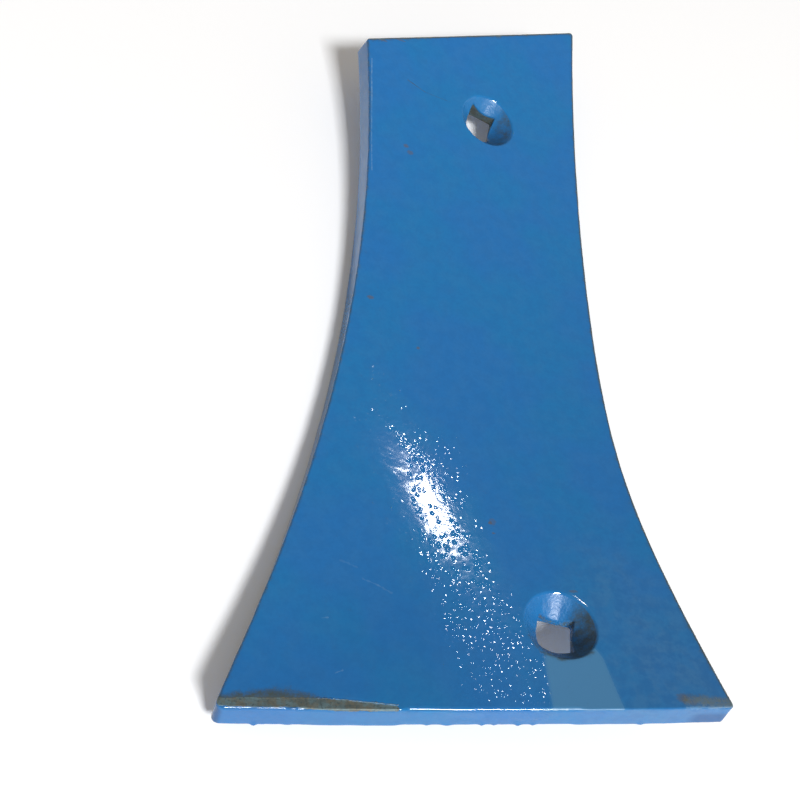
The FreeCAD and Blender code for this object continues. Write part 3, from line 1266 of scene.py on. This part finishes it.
    def paint_colour(self, graph: Graph, place: Feed, dull: Feed, haze: Feed) -> bpy.types.NodeSocket:
        """Blue of the paint, with slow drifts and fine mottling.

        Args:
            graph: Graph of the material.
            place: Place in the blank.
            dull: Share of the dull patch.
            haze: Share of the dusty haze on the paint.

        Returns:
            The paint's colour.
        """
        drift = graph.step(graph.noise(place, 38.0, 2.0), 0.4, 0.62)
        colour = graph.blend(drift, self.blue, self.greener)
        cloud = graph.noise(graph.vector("ADD", place, (60.0, 20.0, 9.0)), 9.0, 3.0, 0.6)
        amount = graph.math("MULTIPLY_ADD", haze, 0.6, 0.15)
        cloud = graph.math("MULTIPLY", graph.step(cloud, 0.42, 0.62), amount)
        colour = graph.blend(cloud, colour, self.dusty)
        colour = graph.blend(graph.math("MULTIPLY", haze, 0.5), colour, self.dusty)
        blots = graph.step(graph.noise(place, 4.6, 3.0, 0.6), 0.42, 0.62)
        amount = graph.math("MULTIPLY_ADD", haze, 0.25, 0.2)
        colour = graph.blend(graph.math("MULTIPLY", blots, amount), colour, self.blot)
        grain = graph.step(graph.noise(place, 1.3, 2.0), 0.38, 0.66, 0.0, 0.16)
        colour = graph.blend(grain, colour, self.blot)
        return graph.blend(graph.math("MULTIPLY", dull, 0.9), colour, self.dull)

    def metal_colour(self, graph: Graph, place: Feed) -> bpy.types.NodeSocket:
        """Rubbed steel with thin rust in it.

        Args:
            graph: Graph of the material.
            place: Place in the blank.

        Returns:
            The metal's colour.
        """
        stain = graph.step(graph.noise(place, 5.0, 4.0, 0.65), 0.42, 0.58)
        colour = graph.blend(stain, self.steel, self.stain)
        dirt = graph.noise(graph.vector("ADD", place, (9.0, 4.0, 2.0)), 4.0, 4.0, 0.7)
        colour = graph.blend(graph.step(dirt, 0.48, 0.62, 0.0, 0.55), colour, self.dark_steel)
        pits = graph.step(graph.noise(place, 0.9, 3.0, 0.6), 0.52, 0.68)
        return graph.blend(pits, colour, self.dark_steel)

    def surface(self, graph: Graph, place: Feed, peel: Feed, fine: Feed,
                bare: Feed) -> bpy.types.NodeSocket:
        """Normal of the surface: dimples and ripple in the paint, a rough grain on bare metal.

        Args:
            graph: Graph of the material.
            place: Place in the blank.
            peel: How thick the dimples stand.
            fine: How strong the fine ripple is.
            bare: Mask of bare metal.

        Returns:
            The normal.
        """
        swell = graph.math("MULTIPLY", graph.noise(place, self.swell_size, 1.0), self.swell_depth)
        reach, lot = graph.cells(place, self.dimple_gap)
        reach = graph.math("DIVIDE", reach, self.dimple_radius / self.dimple_gap)
        bowl = graph.math("MULTIPLY_ADD", graph.math("MULTIPLY", reach, reach), -1.0, 1.0)
        bowl = graph.math("MAXIMUM", bowl, 0.0)
        chosen = graph.step(lot, peel, graph.math("ADD", peel, -0.12), 0.0, self.dimple_depth)
        chosen = graph.math("MULTIPLY", chosen, graph.step(lot, 0.0, 0.8, 0.75, 1.5))
        chosen = graph.math("MULTIPLY", chosen, graph.math("MAXIMUM", peel, 1.0))
        dimples = graph.math("MULTIPLY", graph.math("MULTIPLY", bowl, bowl), chosen)
        ripples = graph.math("MULTIPLY", graph.wobble(place, self.fine_size, 1.0), self.fine_depth)
        height = graph.math("MULTIPLY_ADD", ripples, fine, graph.math("ADD", swell, dimples))
        for ridge in self.ridges:
            height = graph.math("MULTIPLY_ADD", ridge.mask(graph, place), self.ridge_height,
                                height)
        grain = graph.math("MULTIPLY", graph.noise(place, 0.6, 4.0, 0.6), self.grain_depth)
        node = graph.node("ShaderNodeBump")
        graph.feed(node.inputs["Strength"], 1.0)
        graph.feed(node.inputs["Distance"], MM)
        graph.feed(node.inputs["Height"], graph.between(bare, height, grain))
        return node.outputs["Normal"]


@dataclass
class BreastPlate:
    """The breast: a plate rolled hollow, with broken edges and two bolt holes."""

    roll: Roll = field(default_factory=Roll)
    weathering: Weathering = field(default_factory=Weathering)
    paint: BluePaint = field(default_factory=BluePaint)
    lower_hole: tuple[float, float] = (116.0, 31.0)
    upper_hole: tuple[float, float] = (119.0, 272.0)
    upper_neck_shift: tuple[float, float] = (-1.6, 1.5)
    edge_round: float = 0.6
    hollow_step: float = 1.0
    back_step: float = 3.0
    wall_rings: int = 8
    fine_zones: tuple[FineZone, ...] = (FineZone((-2.0, -2.0), (62.0, 7.0), 0.5),
                                        FineZone((140.0, -2.0), (170.0, 6.0), 0.5))
    shell: Shell = field(default_factory=Shell)

    def holes(self) -> list[BoltHole]:
        """The lower and the upper bolt hole."""
        return [BoltHole(self.roll, self.lower_hole, bareness=0.6),
                BoltHole(self.roll, self.upper_hole, self.upper_neck_shift)]

    def rounding(self, hollow: np.ndarray) -> np.ndarray:
        """Radius to which the sharp edge is broken at each point of the outline.

        Args:
            hollow: Points of the outline on the hollow face.

        Returns:
            One radius for each point.
        """
        x, y = hollow.T
        thick = smooth((x - 56) / 4) * (1 - smooth((x - 114) / 4))
        broken = (1 - smooth((x - 28) / 3)) * np.clip(0.5 + ripple(x, y, 2.6, 2), 0, 1)
        return self.edge_round + 0.12 * ripple(x, y, 9, 1) + (0.75 * thick + 0.5 * broken) * (y < 6)

    def walls(self) -> tuple[np.ndarray, np.ndarray]:
        """Builds the edges of the plate all round.

        Returns:
            Numbers of the vertices where the hollow face begins, and of those of the back.
        """
        outline = Outline(self.roll)
        hollow, back = outline.loop(0.0), outline.loop(self.roll.thickness)
        chord = np.roll(hollow, -1, 0) - np.roll(hollow, 1, 0)
        chord /= np.linalg.norm(chord, axis=1)[:, None]
        inward = np.stack([-chord[:, 1], chord[:, 0]], 1)
        thickness, radius, worn = self.roll.thickness, self.rounding(hollow), outline.wear()
        bends = [(radius * (1 - math.sin(a)), radius * (1 - math.cos(a)))
                 for a in np.linspace(0, math.pi / 2, 6)]
        flat = np.zeros(len(hollow))
        profile = [(radius + gap, flat) for gap in (0.5, 0.22)] + bends
        profile += [(flat, radius + (thickness - 2 * radius) * k / self.wall_rings)
                    for k in range(1, self.wall_rings)]
        profile += [(inset, thickness - depth) for inset, depth in bends[::-1]]
        rings = []
        for inset, depth in profile:
            spots = hollow + (back - hollow) * (depth / thickness)[:, None] + inward * inset[:, None]
            reach = np.minimum(np.hypot(inset, depth), np.hypot(inset, thickness - depth))
            rubbed = worn * np.exp(-(reach / 1.0)**2)
            rings.append(self.shell.add(np.column_stack([spots, depth]), rubbed, Region.RIM))
        for upper, lower in zip(rings, rings[1:]):
            self.shell.band(upper, lower)
        return rings[0], rings[-1]

    def build(self) -> bpy.types.Object:
        """Builds the plate's mesh in the row's frame.

        Returns:
            The plate's object.
        """
        front, rear = self.walls()
        tops, feet = [], []
        for hole in self.holes():
            numbers = []
            for ring, region in hole.rings():
                rows = hole.in_blank(ring)
                bare = hole.bareness if region is Region.NECK else 0.0
                numbers.append(self.shell.add(rows, bare, region))
            for upper, lower in zip(numbers, numbers[1:]):
                self.shell.band(upper[::-1], lower[::-1])
            tops.append(numbers[0])
            feet.append(numbers[-1])
        self.shell.sheet(front, tops, 0.0, self.hollow_step, Region.HOLLOW, self.fine_zones)
        self.shell.sheet(rear, feet, self.roll.thickness, self.back_step, Region.BACK)
        return self.piece()

    def dress(self, piece: bpy.types.Object) -> None:
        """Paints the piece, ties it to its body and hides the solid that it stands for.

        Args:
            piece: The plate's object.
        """
        piece.data.materials.append(self.paint.material())
        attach(piece, "root")
        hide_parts("breast_plate")

    def piece(self) -> bpy.types.Object:
        """Makes the object from the finished shell.

        Returns:
            The plate's object, still without a material.
        """
        rows, kinds = np.concatenate(self.shell.rows), np.concatenate(self.shell.kinds)
        points = self.roll.at_rest(self.roll.rolled(rows[:, :2], rows[:, 2]))
        points += self.normals(points) * self.weathering.relief(rows, kinds)[:, None]
        points[:, 2] = np.maximum(points[:, 2], 0.0)
        mesh = bpy.data.meshes.new("breast_plate_painted")
        mesh.from_pydata((points * MM).tolist(), [], [tuple(map(int, f)) for f in self.shell.faces])
        mesh.polygons.foreach_set("use_smooth", np.ones(len(mesh.polygons), bool))
        mesh.update()
        for name, values in (("blank", rows[:, :3]), ("wear", self.weathering.wear(rows, kinds)),
                             ("film", self.weathering.film(rows, kinds)),
                             ("dust_and_shade", self.weathering.dust_and_shade(rows, kinds))):
            attribute = mesh.attributes.new(name, "FLOAT_VECTOR", "POINT")
            attribute.data.foreach_set("vector", values.astype(np.float32).ravel())
        return put("breast_plate_painted", mesh)

    def normals(self, points: np.ndarray) -> np.ndarray:
        """Outward normal at each point of the shell.

        Args:
            points: Places of the vertices.

        Returns:
            One unit vector in each row.
        """
        corners = [(f[0], f[i], f[i + 1]) for f in self.shell.faces for i in range(1, len(f) - 1)]
        a, b, c = np.array(corners).T
        facing = np.cross(points[b] - points[a], points[c] - points[a])
        total = np.zeros_like(points)
        for corner in (a, b, c):
            for axis in range(3):
                total[:, axis] += np.bincount(corner, facing[:, axis], len(points))
        return total / np.linalg.norm(total, axis=1)[:, None]


@dataclass(frozen=True)
class PaleFloor:
    """Plain white table that the plate lies on."""

    colour: Colour = (0.975, 0.965, 0.955)
    glow: float = 0.075
    size: float = 6.0

    def material(self) -> bpy.types.Material:
        """Makes the floor's material, with a little light that only rays of sight see.

        Returns:
            The material.
        """
        material = bpy.data.materials.new("pale_floor")
        material.use_nodes = True
        graph = Graph(material.node_tree)
        shader = material.node_tree.nodes["Principled BSDF"]
        place = graph.node("ShaderNodeTexCoord").outputs["Object"]
        grain = graph.noise(place, 0.004, 3.0)
        low = tuple(c * 0.99 for c in self.colour)
        graph.feed(shader.inputs["Base Color"], graph.blend(grain, low, self.colour))
        shader.inputs["Roughness"].default_value = 0.9
        shader.inputs["Specular IOR Level"].default_value = 0.1
        shader.inputs["Emission Color"].default_value = (1, 1, 1, 1)
        rays = graph.node("ShaderNodeLightPath").outputs
        seen = graph.math("MAXIMUM", rays["Is Camera Ray"], rays["Is Glossy Ray"])
        seen = graph.math("MAXIMUM", seen, rays["Is Transmission Ray"])
        graph.feed(shader.inputs["Emission Strength"], graph.math("MULTIPLY", seen, self.glow))
        return material

    def build(self) -> bpy.types.Object:
        """Builds the floor.

        Returns:
            The floor's object.
        """
        mesh = bpy.data.meshes.new("floor")
        half = self.size / 2
        mesh.from_pydata([(-half, -half, 0), (half, -half, 0), (half, half, 0), (-half, half, 0)],
                         [], [(0, 1, 2, 3)])
        mesh.materials.append(self.material())
        floor = put("floor", mesh)
        return floor


@dataclass(frozen=True)
class ViewCamera:
    """Camera at the photograph's viewing angle."""

    place: tuple[float, float, float] = (-0.15769, -0.28020, 0.34427)
    right: tuple[float, float, float] = (0.93634, -0.07232, 0.34357)
    down: tuple[float, float, float] = (0.12837, -0.84029, -0.52672)
    lens: float = 52.32
    sensor: float = 36.0

    def build(self) -> bpy.types.Object:
        """Places the camera and makes it the scene's own.

        Returns:
            The camera's object.
        """
        camera = bpy.data.cameras.new("camera")
        camera.lens = self.lens
        camera.sensor_width = self.sensor
        camera.clip_start = 0.01
        holder = put("camera", camera)
        right = Vector(self.right).normalized()
        up = -Vector(self.down)
        up = (up - right * up.dot(right)).normalized()
        stand(holder, Vector(self.place), right, up)
        bpy.context.scene.camera = holder
        return holder


@dataclass(frozen=True)
class Lamp:
    """Area lamp aimed at a point of the plate, its long side along a course."""

    name: str
    place: tuple[float, float, float]
    target: tuple[float, float, float]
    sides: tuple[float, float]
    level: float
    colour: Colour = (1.0, 1.0, 1.0)
    course: tuple[float, float, float] = (1.0, 0.0, 0.0)

    def build(self) -> bpy.types.Object:
        """Places the lamp, its power set by the light that it lays on a face turned to it.

        Returns:
            The lamp's object.
        """
        light = bpy.data.lights.new(self.name, "AREA")
        light.shape = "RECTANGLE"
        light.size, light.size_y = self.sides
        light.color = self.colour
        way = Vector(self.place) - Vector(self.target)
        light.energy = self.level * math.pi * math.pi * way.length_squared
        lamp = put(self.name, light)
        back = way.normalized()
        side = Vector(self.course)
        side = (side - back * side.dot(back)).normalized()
        stand(lamp, Vector(self.place), side, back.cross(side))
        return lamp


LAMPS = (Lamp("front_key", place=(0.78, -3.38, 3.66), target=(0.0, 0.0, 0.02), sides=(1.25, 0.85),
              level=1.03, colour=(0.97, 1.0, 1.04)),
         Lamp("rear_lamp", place=(1.289, 2.496, 3.440), target=(-0.008, -0.094, 0.012),
              sides=(0.090, 0.055), level=0.0052, course=(0.857, 0.515, 0.0)))


@dataclass(frozen=True)
class RoomLight:
    """Soft light of the room all round, brighter low down at the front."""

    colour: Colour = (1.08, 1.0, 0.90)
    overhead: float = 0.24
    low_front: float = 0.90

    def build(self) -> None:
        """Sets the world."""
        world = bpy.data.worlds.new("room")
        world.use_nodes = True
        graph = Graph(world.node_tree)
        background = world.node_tree.nodes["Background"]
        way = graph.node("ShaderNodeTexCoord").outputs["Generated"]
        x, y, z = graph.parts(way)
        low = graph.step(z, 0.55, 0.0)
        facing = graph.math("MULTIPLY_ADD", x, -0.6, y)
        front = graph.step(facing, 0.6, -0.8, 0.1, 1.0)
        share = graph.math("MULTIPLY", low, front)
        graph.feed(background.inputs["Color"], self.colour)
        graph.feed(background.inputs["Strength"],
                   graph.between(share, self.overhead, self.low_front))
        bpy.context.scene.world = world


def main() -> None:
    """Builds the camera, the light, the floor and the plate, in that order."""
    logging.basicConfig(level=logging.INFO, format="%(message)s")
    scene = bpy.context.scene
    scene.view_settings.view_transform = "Standard"
    ViewCamera().build()
    RoomLight().build()
    for lamp in LAMPS:
        lamp.build()
    PaleFloor().build()
    plate = BreastPlate()
    piece = plate.build()
    plate.dress(piece)
    LOG.info("%s: %d faces", piece.name, len(piece.data.polygons))


if __name__ == "__main__":
    main()
